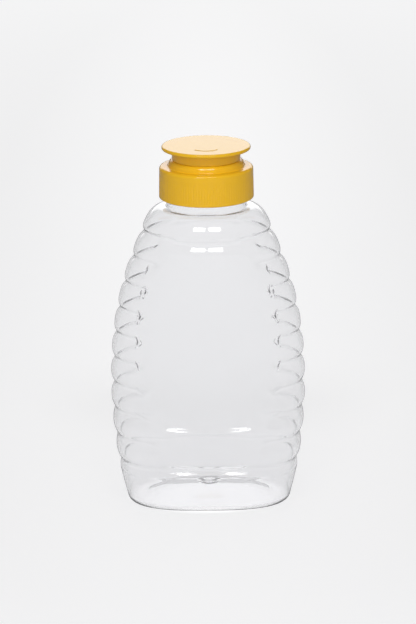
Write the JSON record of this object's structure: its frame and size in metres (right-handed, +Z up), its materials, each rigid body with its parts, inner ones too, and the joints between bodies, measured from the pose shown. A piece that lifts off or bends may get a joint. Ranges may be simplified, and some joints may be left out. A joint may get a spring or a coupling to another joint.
{
  "type": "honey squeeze bottle",
  "caption": "Empty clear squeeze bottle with ribbed sides, smooth oval label panels and a pushed-up base, closed by a yellow cap with a disc lid.",
  "frame": {"origin": "middle of the ring that the bottle stands on, at floor level", "axes": "+Z up to the lid, X across the broad front, the front with the thumb mark faces -Y"},
  "size_m": [0.0852, 0.0542, 0.1596],
  "materials": {
    "clear_plastic": "clear glossy blown PET",
    "yellow_plastic": "glossy moulded polypropylene",
    "yellow_lid": "glossy moulded polypropylene"
  },
  "bodies": {
    "root": {"bottle": "clear_plastic", "closure": "yellow_plastic", "lid": "yellow_lid"}
  },
  "joints": []
}
